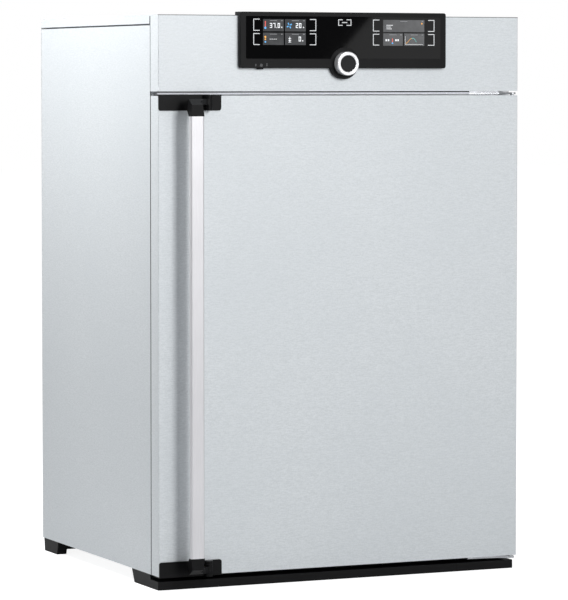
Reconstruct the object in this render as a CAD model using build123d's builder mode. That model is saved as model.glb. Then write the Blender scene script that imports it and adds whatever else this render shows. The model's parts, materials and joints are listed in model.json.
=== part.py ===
from build123d import *
from math import cos, degrees, hypot, radians, sin, sqrt, tan
import os

os.makedirs("parts", exist_ok=True)

# Laboratory incubator with an outer door, an inner glass door and a control panel above them.
# Millimetres. +X is the hinge side, -Y faces the user, +Z is up.
# The origin is on the floor, under the middle of the whole box.

# Cabinet
cabinet_width = 824.0
cabinet_depth = 684.0
handle_reach = 56.0
casing_bottom = 29.0
casing_sheet = 1.2
seam = 0.6
front_depth = 42.0
lid_drop = 19.5
side_flange = 20.0
bottom_flange = 8.0
frame_return = 13.0
corner_radius = 2.0

# Outer door
door_height = 982.0
door_gap = 9.0
door_depth = 40.0
liner_inset = 6.0
liner_raise = 4.0
liner_gap = 18.0
liner_corner = 12.0
liner_taper = 30.0
gasket_width = 14.0
gasket_inset_x = 22.0
gasket_inset_z = 33.0
gasket_gap = 0.3
gasket_edge = 2.0

# Front frame and chamber
side_wall = 92.0
end_wall = 91.0
chamber_sheet = 1.2
opening_corner = 2.0
recess_corner = 8.0
recess_margin = 38.0
recess_depth = 24.0
insulation_thickness = 64.0
heater_thickness = 2.0
heater_margin = 60.0

# Shelf ribs and shelves
rib_count = 9
rib_front_gap = 21.0
rib_rear_gap = 39.0
rib_height = 16.0
rib_depth = 9.0
rib_taper = 12.0
rib_wall = 0.9
shelf_side_gap = 3.0
shelf_front_gap = 41.0
shelf_rear_gap = 9.0
shelf_rod_radius = 3.0
shelf_wire_radius = 1.5
shelf_wire_count = 15
shelf_corner = 16.0
shelf_cross_inset = 140.0
shelf_rise = 0.1
lower_shelf_rib = 2
upper_shelf_rib = 6

# Glass door
glass_thickness = 5.0
glass_seal_gap = 0.3
seal_width = 8.0
seal_height = 6.0
seal_inset = 2.0
seal_edge = 2.0
glass_gap_left = 8.0
glass_gap_right = 14.0
glass_gap_ends = 14.0
glass_corner = 6.0
glass_axis_inset = 9.0
glass_axis_lead = 4.7
glass_pin_radius = 2.0
glass_barrel_radius = 4.5
glass_clamp_height = 40.0
glass_clamp_depth = 14.0
glass_clamp_sheet = 2.0
glass_clamp_overrun = 2.0
glass_post_sheet = 3.0
glass_pin_length = 20.0
glass_latch_inset = 12.0
glass_knob_radius = 12.0
glass_knob_length = 9.0
glass_knob_grip = 5.0
glass_latch_shaft = 3.0
glass_tab_length = 17.0
glass_tab_width = 10.0
glass_tab_sheet = 2.4
glass_tab_gap = 0.3
glass_clamp_lip = 8.4
keeper_gap = 1.0
keeper_sheet = 1.5
keeper_height = 30.0

# Hinges of the outer door
hinge_pin_inset = 8.0
hinge_pin_setback = 12.0
hinge_pin_radius = 4.0
hinge_eye_radius = 8.0
hinge_plate = 4.0
hinge_gap = 2.0
hinge_drop = 3.0
hinge_pin_depth = 26.0
hinge_leaf_start = 27.0
hinge_leaf_width = 76.0
hinge_leaf_depth = 16.0
hinge_leaf_height = 31.0
hinge_leaf_sheet = 2.4
bush_radius = 6.5
bush_plate = 3.0
bush_plate_width = 50.0

# Handle
mount_width = 138.0
mount_height = 30.0
mount_sheet = 3.0
mount_wrap = 2.0
mount_wrap_depth = 24.0
mount_corner = 5.0
pivot_inset = 106.0
pivot_reach = 12.0
pivot_radius = 8.0
pivot_pin_radius = 3.5
pivot_gap = 0.3
knuckle_upper = 7.7
knuckle_lower = 6.7
hook_sheet = 5.0
hook_reach = 64.0
hook_width = 10.0
hook_tooth = 8.0
hook_tooth_depth = 6.0
hook_slot_gap = 1.0
hook_keeper_gap = 2.0
handle_swing = 50.0
bar_inset = 63.5
bar_width = 30.0
bar_thickness = 12.0
bar_edge = 3.5
bar_margin = 41.3
arm_depth = 24.0
arm_face_height = 23.3
arm_face_taper = 5.0

# Fascia and control panel
fascia_height = 156.0
window_margin = 30.0
window_height = 80.0
cockpit_width = 470.0
cockpit_drop = 108.5
cockpit_rise = 7.0
cockpit_proud = 12.0
cockpit_lip = 21.0
cockpit_wall = 3.0
cockpit_corner = 5.0
cockpit_edge = 2.0
cockpit_chamfer = 1.0
pane_width = 445.0
pane_drop = 2.0
pane_height = 87.0
pane_thickness = 3.0
pane_gap = 0.3
pane_ledge = 1.5
pane_corner = 2.0
collar_radius = 32.0
collar_groove = 1.0
knob_drop = 99.0
knob_radius = 24.5
knob_length = 18.0
knob_gap = 1.0
knob_bore = 17.1
knob_web = 11.0
knob_edge = 1.6
encoder_radius = 11.9
encoder_base = 40.0
encoder_sheet = 4.0
encoder_gap = 0.5
button_radius = 16.7
button_stem = 8.0
button_cap = 3.5
button_inset = 1.0
running_gap = 0.05
display_width = 99.0
display_height = 56.0
display_depth = 7.0
display_spacing = 272.0
display_drop = 34.6
switch_offset = 188.5
switch_width = 15.0
switch_depth = 5.0
switch_proud = 2.5
switch_gap = 0.4
switch_flange = 2.0
switch_flange_depth = 5.9

# Fan, air guide and exhaust
baffle_side_gap = 20.0
baffle_end_gap = 30.0
baffle_depth = 30.0
baffle_sheet = 1.0
grille_radius = 66.0
grille_rows = 9
grille_pitch = 14.0
grille_slot = 7.0
outlet_count = 9
outlet_length = 50.0
outlet_height = 12.0
outlet_margin = 28.0
fan_radius = 90.0
fan_gap = 5.0
fan_back = 1.5
fan_ring = 1.2
fan_ring_width = 26.0
fan_blade_height = 16.0
fan_hub = 14.0
blade_count = 14
blade_inner = 46.0
blade_thickness = 1.6
blade_sweep = 34.0
blade_bow = 0.4
fan_shaft = 4.0
shaft_hole = 6.0
shaft_end_gap = 8.0
motor_radius = 40.0
motor_length = 38.0
motor_flange = 96.0
motor_plate = 3.0
motor_gap = 9.4
pipe_side_gap = 120.0
pipe_drop = 52.0
pipe_radius = 25.0
pipe_wall = 1.5
pipe_mouth = 24.0
pipe_mouth_length = 50.0
flap_gap = 0.4
flap_sheet = 1.5
flap_shaft = 2.0
flap_depth = 36.0
actuator_size = 36.0
probe_radius = 2.5
probe_length = 70.0
probe_spacing = 60.0
probe_drop = 60.0

# Rear panel and its screws
louvre_width = 70.0
louvre_height = 5.0
louvre_count = 7
louvre_pitch = 14.0
louvre_spacing = 420.0
louvre_drop = 96.0
motor_vent_drop = 160.0
inlet_side = 112.0
inlet_rise = 61.0
inlet_width = 32.0
inlet_height = 25.0
inlet_rim = 8.0
inlet_depth = 18.0
inlet_wall = 2.5
inlet_pin_length = 9.0
inlet_pin_width = 1.3
inlet_pin_height = 5.0
inlet_pin_spacing = 7.0
screw_radius = 2.0
screw_head_radius = 3.1
screw_head_angle = 90.0
screw_length = 12.0
screw_rows = 6
screw_margin = 40.0
screw_inset = 11.0

# Electronics under the lid
tray_margin = 132.0
tray_depth = 360.0
tray_sheet = 1.5
tray_flange = 12.0
board_width = 180.0
board_depth = 120.0
board_sheet = 1.6
board_standoff = 8.0
board_x = -110.0
chip_size = 20.0
chip_pitch_x = 45.0
chip_pitch_y = 40.0
chip_height = 8.0
supply_width = 98.0
supply_length = 160.0
supply_height = 38.0
supply_x = 120.0
supply_vent_depth = 4.0

# Plinth and feet
plinth_inset = 3.0
plinth_setback = 10.0
plinth_height = 17.5
plinth_ledge = 43.0
plinth_slope = 4.0
plinth_web = 14.0
front_foot_width = 135.5
front_foot_length = 148.0
foot_slant = 15.0
rear_foot_length = 89.0
rear_foot_width = 22.0
rear_foot_taper = 8.0
cross_bar_gap = 9.0
cross_bar_setback = 30.0
cross_bar_depth = 40.0

# Positions worked out from the sizes above
door_top = casing_bottom + door_height
fascia_bottom = door_top + door_gap
casing_top = fascia_bottom + fascia_height
half_width = cabinet_width / 2
total_depth = cabinet_depth + handle_reach
rear_y = total_depth / 2
door_face = rear_y - cabinet_depth
handle_face = door_face - handle_reach
seam_y = door_face + front_depth
frame_back = seam_y + casing_sheet
frame_top = casing_top - casing_sheet
rear_inner = rear_y - casing_sheet
flange_back = rear_inner - casing_sheet
side_inner = half_width - casing_sheet
side_top = casing_top - lid_drop - seam
door_back = door_face + door_depth
door_middle = (door_top + casing_bottom) / 2
skin_inner = door_face + casing_sheet
liner_y = door_back - liner_inset
liner_front = liner_y - casing_sheet
chamber_width = cabinet_width - 2 * side_wall
chamber_height = door_height - 2 * end_wall
recess_width = chamber_width + 2 * recess_margin
recess_height = chamber_height + 2 * recess_margin
recess_half = recess_width / 2
recess_floor = seam_y + recess_depth
chamber_front = recess_floor + chamber_sheet
insulation_back = rear_inner - motor_gap - motor_length - motor_plate
shell_back = insulation_back - insulation_thickness
chamber_back = shell_back - chamber_sheet
chamber_depth = chamber_back - chamber_front
chamber_half = chamber_width / 2
chamber_bottom = door_middle - chamber_height / 2
chamber_top = door_middle + chamber_height / 2
shell_half = chamber_half + chamber_sheet
shell_bottom = chamber_bottom - chamber_sheet
shell_top = chamber_top + chamber_sheet
chamber_middle_y = (chamber_front + chamber_back) / 2
insulation_top = shell_top + insulation_thickness
floor_sheet_top = casing_bottom + casing_sheet
baffle_front = chamber_back - baffle_depth
pipe_x = chamber_half - pipe_side_gap
pipe_height = chamber_top - pipe_drop


def facing(y):
    """Plane across the cabinet at depth y, seen from the user's side."""
    return Plane.XZ.offset(-y)


def level(z):
    """Horizontal plane at height z."""
    return Plane.XY.offset(z)


def block(x_limits, y_limits, z_limits, mode=Mode.ADD):
    """Box between pairs of limits, in the part being built."""
    limits = (x_limits, y_limits, z_limits)
    centre = [(low + high) / 2 for low, high in limits]
    size = [high - low for low, high in limits]
    with Locations(tuple(centre)):
        Box(*size, mode=mode)


def mirrored(source, plane):
    """Copy of a finished sub-part on the other side of a plane."""
    with BuildPart() as copy:
        mirror(source.part, about=plane)
    return copy


def polar(radius, angle):
    """Point at a radius and an angle in degrees."""
    return (radius * cos(radians(angle)), radius * sin(radians(angle)))


def hook_sweep(depth):
    """How far the latch hook reaches sideways at a depth behind its pivot, over the whole swing."""
    tip = hypot(hook_reach, hook_width / 2 + hook_tooth)
    side = depth * tan(radians(handle_swing)) + hook_width / 2 / cos(radians(handle_swing))
    return min(side, sqrt(tip**2 - depth**2))


# Middle planes for the pieces that are repeated above and below, and left and right
door_mirror = level(door_middle)

# Handle pivot and the heights of what turns on it, from the bottom of the upper mount upwards
pivot_x = -half_width + pivot_inset
pivot_y = door_face - pivot_reach
mount_left = -half_width
mount_right = mount_left + mount_width
mount_bottom = door_top - mount_height
mount_top = door_top + mount_wrap
hook_bottom = mount_bottom + knuckle_lower + pivot_gap
hook_top = hook_bottom + hook_sheet
eye_top = mount_top - knuckle_upper - pivot_gap
slot_limits = (hook_bottom - hook_slot_gap, hook_top + hook_slot_gap)
slot_right = pivot_x + hook_width / 2 + hook_slot_gap
bar_left = -half_width + bar_inset - bar_width / 2
bar_right = bar_left + bar_width
bar_top = door_top - bar_margin
bar_bottom = casing_bottom + bar_margin


def cut_hook_slots(y_limits, reach, right=slot_right):
    """Slots for the upper and lower latch hooks, through whatever is being built."""
    for low, high in (slot_limits, [2 * door_middle - z for z in reversed(slot_limits)]):
        block((pivot_x - reach - hook_slot_gap, right), y_limits, (low, high), mode=Mode.SUBTRACT)


# Side panels: bent sheets with a flange behind the rear panel
screw_middle = (casing_bottom + side_top) / 2
screw_plane = Plane(origin=(0, rear_y, screw_middle), x_dir=(1, 0, 0), z_dir=(0, 1, 0))
screw_spacing = cabinet_width - 2 * screw_inset
screw_pitch = (side_top - casing_bottom - 2 * screw_margin) / (screw_rows - 1)
inlet_x = half_width - inlet_side
inlet_z = casing_bottom + inlet_rise
louvre_middle = casing_top - louvre_drop

with BuildPart() as left_side_panel:
    with BuildSketch(level(casing_bottom)):
        with BuildLine():
            Polyline(
                (-half_width, seam_y),
                (-half_width, rear_inner),
                (-half_width + side_flange, rear_inner),
                (-half_width + side_flange, flange_back),
                (-side_inner, flange_back),
                (-side_inner, seam_y),
                close=True,
            )
        make_face()
    extrude(amount=side_top - casing_bottom)
    with BuildSketch(facing(rear_inner)):
        with Locations((0, screw_middle)):
            with GridLocations(screw_spacing, screw_pitch, 2, screw_rows):
                Circle(screw_radius)
    extrude(amount=casing_sheet, mode=Mode.SUBTRACT)

right_side_panel = mirrored(left_side_panel, Plane.YZ)

# Lid: a pan over the top with a flange on three sides
with BuildPart() as lid_panel:
    with BuildSketch(level(casing_top)):
        with Locations((0, (seam_y + rear_y) / 2)):
            Rectangle(cabinet_width, rear_y - seam_y)
    extrude(amount=-lid_drop)
    underside = lid_panel.faces().sort_by(Axis.Z)[0]
    front_side = lid_panel.faces().sort_by(Axis.Y)[0]
    offset(amount=-casing_sheet, openings=[underside, front_side])

# Bottom panel: a tray with short flanges
with BuildPart() as bottom_panel:
    with BuildSketch(level(casing_bottom)):
        with Locations((0, (frame_back + flange_back) / 2)):
            Rectangle(2 * side_inner, flange_back - frame_back)
    extrude(amount=bottom_flange)
    offset(amount=-casing_sheet, openings=bottom_panel.faces().sort_by(Axis.Z)[-1])

# Rear panel with louvres, the exhaust hole, the inlet's cut-out and its screw holes
with BuildPart() as rear_panel:
    with BuildSketch(facing(rear_y)):
        with Locations((0, (casing_bottom + side_top) / 2)):
            Rectangle(cabinet_width, side_top - casing_bottom)
    extrude(amount=casing_sheet)
    with BuildSketch(facing(rear_y)):
        with Locations((0, louvre_middle)):
            with GridLocations(louvre_spacing, louvre_pitch, 2, louvre_count):
                SlotOverall(louvre_width, louvre_height)
        with Locations((0, door_middle - motor_vent_drop)):
            with GridLocations(0, louvre_pitch, 1, louvre_count):
                SlotOverall(louvre_width, louvre_height)
        with Locations((pipe_x, pipe_height)):
            Circle(pipe_radius + pane_gap)
        with Locations((inlet_x, inlet_z)):
            Rectangle(inlet_width + 2 * pane_gap, inlet_height + 2 * pane_gap)
    extrude(amount=casing_sheet, mode=Mode.SUBTRACT)
    with Locations(Location(screw_plane)):
        with GridLocations(screw_spacing, screw_pitch, 2, screw_rows):
            CounterSinkHole(screw_radius, screw_head_radius, counter_sink_angle=screw_head_angle)

# Countersunk screws that hold the rear panel, one solid each
screw_head_depth = screw_head_radius - screw_radius
with BuildPart() as cabinet_screws:
    with Locations(Location(screw_plane)):
        with GridLocations(screw_spacing, screw_pitch, 2, screw_rows):
            Cone(
                screw_radius - running_gap,
                screw_head_radius - running_gap,
                screw_head_depth,
                align=(Align.CENTER, Align.CENTER, Align.MAX),
            )
            Cylinder(
                screw_radius - running_gap,
                screw_length,
                align=(Align.CENTER, Align.CENTER, Align.MAX),
            )

# Front frame: a face sheet, a drawn recess for the glass door and returns behind the edges
with BuildPart() as front_frame:
    with BuildSketch(facing(frame_back)):
        with Locations((0, (casing_bottom + frame_top) / 2)):
            Rectangle(2 * side_inner, frame_top - casing_bottom)
        with Locations((0, door_middle)):
            RectangleRounded(recess_width, recess_height, recess_corner, mode=Mode.SUBTRACT)
    extrude(amount=casing_sheet)
    with BuildSketch(facing(chamber_front)):
        with Locations((0, door_middle)):
            RectangleRounded(
                recess_width + 2 * chamber_sheet,
                recess_height + 2 * chamber_sheet,
                recess_corner + chamber_sheet,
            )
            RectangleRounded(recess_width, recess_height, recess_corner, mode=Mode.SUBTRACT)
    extrude(amount=chamber_front - seam_y)
    with BuildSketch(facing(chamber_front)):
        with Locations((0, door_middle)):
            RectangleRounded(
                recess_width + 2 * chamber_sheet,
                recess_height + 2 * chamber_sheet,
                recess_corner + chamber_sheet,
            )
            RectangleRounded(chamber_width, chamber_height, opening_corner, mode=Mode.SUBTRACT)
    extrude(amount=chamber_sheet)
    return_y = (seam_y, seam_y + frame_return)
    return_z = (casing_bottom + bottom_flange, frame_top)
    block((-side_inner, -side_inner + casing_sheet), return_y, return_z)
    block((side_inner - casing_sheet, side_inner), return_y, return_z)
    block((-side_inner, side_inner), return_y, (frame_top - casing_sheet, frame_top))
    frame_slot_right = slot_right + hook_tooth + hook_keeper_gap - hook_slot_gap
    cut_hook_slots((seam_y, frame_back), hook_sweep(seam_y - pivot_y), right=frame_slot_right)

# Chamber side walls with deep-drawn ribs that carry the shelves
rib_length = chamber_depth - rib_front_gap - rib_rear_gap
rib_middle_y = chamber_front + rib_front_gap + rib_length / 2
rib_pitch = chamber_height / (rib_count + 1)
first_rib = chamber_bottom + rib_pitch

with BuildPart() as chamber_left_wall:
    with BuildSketch(Plane.YZ.offset(-shell_half)):
        with Locations((chamber_middle_y, door_middle)):
            Rectangle(chamber_depth, chamber_height)
    extrude(amount=chamber_sheet)
    with BuildSketch(Plane.YZ.offset(-chamber_half)):
        with Locations((rib_middle_y, door_middle)):
            with GridLocations(0, rib_pitch, 1, rib_count):
                SlotOverall(rib_length, rib_height)
    extrude(amount=rib_depth, taper=rib_taper)
    with BuildSketch(Plane.YZ.offset(-shell_half)):
        with Locations((rib_middle_y, door_middle)):
            with GridLocations(0, rib_pitch, 1, rib_count):
                SlotOverall(rib_length - 2 * rib_wall, rib_height - 2 * rib_wall)
    extrude(amount=rib_depth, taper=rib_taper, mode=Mode.SUBTRACT)

chamber_right_wall = mirrored(chamber_left_wall, Plane.YZ)

# Chamber top, floor and rear wall
with BuildPart() as chamber_ceiling:
    with BuildSketch(level(chamber_top)):
        with Locations((0, chamber_middle_y)):
            Rectangle(2 * shell_half, chamber_depth)
    extrude(amount=chamber_sheet)

with BuildPart() as chamber_floor:
    with BuildSketch(level(shell_bottom)):
        with Locations((0, chamber_middle_y)):
            Rectangle(2 * shell_half, chamber_depth)
    extrude(amount=chamber_sheet)

with BuildPart() as chamber_rear_wall:
    with BuildSketch(facing(shell_back)):
        with Locations((0, door_middle)):
            Rectangle(2 * shell_half, shell_top - shell_bottom)
            Circle(shaft_hole, mode=Mode.SUBTRACT)
        with Locations((pipe_x, pipe_height)):
            Circle(pipe_radius, mode=Mode.SUBTRACT)
    extrude(amount=chamber_sheet)

# Heater mats bonded to the outside of the chamber's walls and floor
mat_y = (chamber_front + heater_margin, chamber_back - heater_margin)
mat_z = (chamber_bottom + heater_margin, chamber_top - heater_margin)
mat_x = (-chamber_half + heater_margin, chamber_half - heater_margin)
mat_side = shell_half + heater_thickness
mat_floor = (shell_bottom - heater_thickness, shell_bottom)

with BuildPart() as heater_mats:
    block((-mat_side, -shell_half), mat_y, mat_z)
    block((shell_half, mat_side), mat_y, mat_z)
    block(mat_x, mat_y, mat_floor)

# Insulation between the chamber and the casing, open to the front, with the vent motor's pocket
flap_y = insulation_back - flap_depth
actuator_left = pipe_x + pipe_radius
actuator_right = actuator_left + actuator_size
actuator_y = (flap_y - actuator_size / 2, flap_y + actuator_size / 2)
actuator_z = (pipe_height - actuator_size / 2, pipe_height + actuator_size / 2)

insulation_y = (chamber_front, insulation_back)
flange_z = (floor_sheet_top, casing_bottom + bottom_flange)
shell_y = (chamber_front, shell_back)
shell_z = (shell_bottom, shell_top)

with BuildPart() as chamber_insulation:
    block((-side_inner, side_inner), insulation_y, (floor_sheet_top, insulation_top))
    block((-side_inner, -side_inner + casing_sheet), insulation_y, flange_z, mode=Mode.SUBTRACT)
    block((side_inner - casing_sheet, side_inner), insulation_y, flange_z, mode=Mode.SUBTRACT)
    block((-shell_half, shell_half), shell_y, shell_z, mode=Mode.SUBTRACT)
    block((-mat_side, mat_side), mat_y, mat_z, mode=Mode.SUBTRACT)
    block(mat_x, mat_y, mat_floor, mode=Mode.SUBTRACT)
    with BuildSketch(facing(insulation_back)):
        with Locations((0, door_middle)):
            Circle(shaft_hole)
        with Locations((pipe_x, pipe_height)):
            Circle(pipe_radius)
    extrude(amount=insulation_thickness, mode=Mode.SUBTRACT)
    block((pipe_x, actuator_right), actuator_y, actuator_z, mode=Mode.SUBTRACT)

# Chamber seal: a silicone ring that the glass door closes on
with BuildPart() as chamber_seal:
    with BuildSketch(facing(recess_floor)):
        with Locations((0, door_middle)):
            RectangleRounded(
                chamber_width + 2 * (seal_inset + seal_width),
                chamber_height + 2 * (seal_inset + seal_width),
                opening_corner + seal_edge,
            )
            RectangleRounded(
                chamber_width + 2 * seal_inset,
                chamber_height + 2 * seal_inset,
                opening_corner,
                mode=Mode.SUBTRACT,
            )
    extrude(amount=seal_height)
    fillet(chamber_seal.faces().sort_by(Axis.Y)[0].edges(), seal_edge)

# Wire shelves: a rod frame, two cross rods and the wires laid over them
shelf_half = chamber_half - shelf_side_gap
shelf_back = baffle_front - shelf_rear_gap
shelf_length = shelf_back - shelf_front_gap - chamber_front
shelf_middle = shelf_back - shelf_length / 2
shelf_cross = shelf_length / 2 - shelf_cross_inset


def wire_shelf(rib_index):
    """Shelf whose side rods rest on the sloping upper flanks of one pair of ribs."""
    flank_drop = (shelf_side_gap + shelf_rod_radius) * tan(radians(rib_taper))
    rod_rise = (shelf_rod_radius + shelf_rise) / cos(radians(rib_taper))
    rod_z = first_rib + rib_index * rib_pitch + rib_height / 2 - flank_drop + rod_rise
    half_x = shelf_half - shelf_rod_radius
    half_y = shelf_length / 2 - shelf_rod_radius
    rim = Pos(0, shelf_middle, rod_z) * RectangleRounded(2 * half_x, 2 * half_y, shelf_corner)
    rim_wire = rim.wire()
    with BuildPart() as shelf:
        with BuildSketch(Plane(origin=rim_wire @ 0, z_dir=rim_wire % 0)):
            Circle(shelf_rod_radius)
        sweep(path=rim_wire)
        with Locations((0, shelf_middle, rod_z)):
            with GridLocations(0, 2 * shelf_cross, 1, 2):
                Cylinder(shelf_rod_radius - running_gap, 2 * half_x, rotation=(0, 90, 0))
        wire_z = rod_z + shelf_rod_radius
        wire_pitch = 2 * half_x / (shelf_wire_count + 1)
        with Locations((0, shelf_middle, wire_z)):
            with GridLocations(wire_pitch, 0, shelf_wire_count, 1):
                Cylinder(shelf_wire_radius, 2 * half_y, rotation=(90, 0, 0))
    return shelf


shelf_lower = wire_shelf(lower_shelf_rib)
shelf_upper = wire_shelf(upper_shelf_rib)

# Air guide in front of the fan: a pan with a round intake grille and outlets down its sides
baffle_width = chamber_width - 2 * baffle_side_gap
baffle_height = chamber_height - 2 * baffle_end_gap
outlet_pitch = (baffle_height - 2 * outlet_margin) / outlet_count

with BuildPart() as fan_baffle:
    with BuildSketch(facing(chamber_back)):
        with Locations((0, door_middle)):
            Rectangle(baffle_width, baffle_height)
    extrude(amount=baffle_depth)
    offset(amount=-baffle_sheet, openings=fan_baffle.faces().sort_by(Axis.Y)[-1])
    with BuildSketch(facing(baffle_front + baffle_sheet)):
        for row in range(grille_rows):
            height = (row - (grille_rows - 1) / 2) * grille_pitch
            with Locations((0, door_middle + height)):
                SlotOverall(2 * sqrt(grille_radius**2 - height**2), grille_slot)
        with Locations((0, chamber_top - probe_drop)):
            with GridLocations(probe_spacing, 0, 2, 1):
                Circle(probe_radius)
    extrude(amount=baffle_sheet, mode=Mode.SUBTRACT)
    with BuildSketch(Plane.YZ.offset(-baffle_width / 2)):
        with Locations((baffle_front + baffle_depth / 2, door_middle)):
            with GridLocations(0, outlet_pitch, 1, outlet_count):
                Rectangle(outlet_height, outlet_length)
    extrude(amount=baffle_width, mode=Mode.SUBTRACT)

# Temperature probes, through the air guide from the chamber's rear wall
with BuildPart() as temperature_probes:
    with BuildSketch(facing(chamber_back)):
        with Locations((0, chamber_top - probe_drop)):
            with GridLocations(probe_spacing, 0, 2, 1):
                Circle(probe_radius)
    extrude(amount=probe_length)

# Fan wheel: back plate, swept blades, front ring, hub and shaft
fan_front = baffle_front + baffle_sheet + fan_gap
blade_front = fan_front + fan_ring
blade_back = blade_front + fan_blade_height
fan_rear = blade_back + fan_back
motor_front = insulation_back + motor_plate
motor_back = motor_front + motor_length
blade_middle = (blade_inner + fan_radius) / 2


def edge_angle(radius):
    """Angle that the blade's thickness covers at a radius."""
    return degrees(blade_thickness / radius)


with BuildSketch() as blade_section:
    with BuildLine():
        ThreePointArc(
            polar(blade_inner, 0),
            polar(blade_middle, -blade_sweep * blade_bow),
            polar(fan_radius, -blade_sweep),
        )
        Line(
            polar(fan_radius, -blade_sweep),
            polar(fan_radius, -blade_sweep + edge_angle(fan_radius)),
        )
        ThreePointArc(
            polar(fan_radius, -blade_sweep + edge_angle(fan_radius)),
            polar(blade_middle, -blade_sweep * blade_bow + edge_angle(blade_middle)),
            polar(blade_inner, edge_angle(blade_inner)),
        )
        Line(polar(blade_inner, edge_angle(blade_inner)), polar(blade_inner, 0))
    make_face()

with BuildPart() as fan_wheel:
    with BuildSketch(facing(fan_rear)):
        with Locations((0, door_middle)):
            Circle(fan_radius)
    extrude(amount=fan_back)
    with BuildSketch(Plane(origin=(0, blade_back, door_middle), z_dir=(0, -1, 0))):
        with PolarLocations(0, blade_count):
            add(blade_section.sketch)
        Circle(fan_hub)
    extrude(amount=fan_blade_height)
    with BuildSketch(facing(blade_front)):
        with Locations((0, door_middle)):
            Circle(fan_radius)
            Circle(fan_radius - fan_ring_width, mode=Mode.SUBTRACT)
    extrude(amount=fan_ring)
    with BuildSketch(facing(motor_back - shaft_end_gap)):
        with Locations((0, door_middle)):
            Circle(fan_shaft)
    extrude(amount=motor_back - shaft_end_gap - fan_rear)

# Fan motor on the back of the insulation
with BuildPart() as fan_motor:
    with BuildSketch(facing(motor_front)):
        with Locations((0, door_middle)):
            RectangleRounded(motor_flange, motor_flange, corner_radius)
    extrude(amount=motor_plate)
    with BuildSketch(facing(motor_back)):
        with Locations((0, door_middle)):
            Circle(motor_radius)
    extrude(amount=motor_length)
    fillet(fan_motor.faces().sort_by(Axis.Y)[-1].edges(), corner_radius)
    with BuildSketch(facing(motor_back - shaft_end_gap + knob_gap)):
        with Locations((0, door_middle)):
            Circle(fan_shaft + running_gap)
    extrude(amount=motor_back - shaft_end_gap + knob_gap - insulation_back, mode=Mode.SUBTRACT)

# Exhaust pipe from the chamber to the rear panel, with a wider mouth
with BuildPart() as exhaust_pipe:
    with BuildSketch(facing(rear_y)):
        with Locations((pipe_x, pipe_height)):
            Circle(pipe_radius)
            Circle(pipe_radius - pipe_wall, mode=Mode.SUBTRACT)
    extrude(amount=rear_y - chamber_back)
    with BuildSketch(facing(rear_y)):
        with Locations((pipe_x, pipe_height)):
            Circle(pipe_mouth)
    extrude(amount=pipe_mouth_length, mode=Mode.SUBTRACT)
    with Locations((pipe_x, flap_y, pipe_height)):
        Cylinder(flap_shaft + running_gap, 2 * pipe_radius, rotation=(0, 90, 0), mode=Mode.SUBTRACT)

# Vent flap on its spindle, and the motor that turns it
spindle_left = pipe_x - pipe_radius + pipe_wall / 2
spindle_right = pipe_x + pipe_radius + actuator_size / 2
with BuildPart() as vent_flap:
    with BuildSketch(facing(flap_y + flap_sheet / 2)):
        with Locations((pipe_x, pipe_height)):
            Circle(pipe_radius - pipe_wall - flap_gap)
    extrude(amount=flap_sheet)
    with Locations(((spindle_left + spindle_right) / 2, flap_y, pipe_height)):
        Cylinder(flap_shaft, spindle_right - spindle_left, rotation=(0, 90, 0))

with BuildPart() as vent_motor:
    block((actuator_left, actuator_right), actuator_y, actuator_z)
    with Locations((actuator_left, flap_y, pipe_height)):
        Cylinder(
            flap_shaft + running_gap,
            actuator_size / 2 + knob_gap,
            rotation=(0, 90, 0),
            align=(Align.CENTER, Align.CENTER, Align.MIN),
            mode=Mode.SUBTRACT,
        )

# Electronics: a tray on top of the insulation with the control board and the power supply
tray_y = rear_inner - casing_sheet - tray_depth / 2 - tray_flange
tray_top = insulation_top + tray_sheet
tray_width = cabinet_width - 2 * tray_margin
with BuildPart() as electronics_tray:
    with BuildSketch(level(insulation_top)):
        with Locations((0, tray_y - tray_flange)):
            Rectangle(tray_width, tray_depth)
    extrude(amount=tray_flange)
    offset(amount=-tray_sheet, openings=electronics_tray.faces().sort_by(Axis.Z)[-1])

board_y = tray_y - tray_flange
with BuildPart() as control_board:
    with BuildSketch(level(tray_top + board_standoff)):
        with Locations((board_x, board_y)):
            Rectangle(board_width, board_depth)
    extrude(amount=board_sheet)
    with BuildSketch(level(tray_top)):
        with Locations((board_x, board_y)):
            with GridLocations(board_width - tray_flange, board_depth - tray_flange, 2, 2):
                Circle(shelf_rod_radius)
    extrude(amount=board_standoff)
    with BuildSketch(level(tray_top + board_standoff + board_sheet)):
        with Locations((board_x, board_y)):
            with GridLocations(chip_pitch_x, chip_pitch_y, 3, 2):
                Rectangle(chip_size, chip_size)
    extrude(amount=chip_height)

with BuildPart() as power_supply:
    with BuildSketch(level(tray_top)):
        with Locations((supply_x, board_y)):
            Rectangle(supply_width, supply_length)
    extrude(amount=supply_height)
    with BuildSketch(level(tray_top + supply_height)):
        with Locations((supply_x, board_y)):
            with GridLocations(0, louvre_pitch, 1, louvre_count):
                SlotOverall(louvre_width, louvre_height)
    extrude(amount=-supply_vent_depth, mode=Mode.SUBTRACT)

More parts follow.
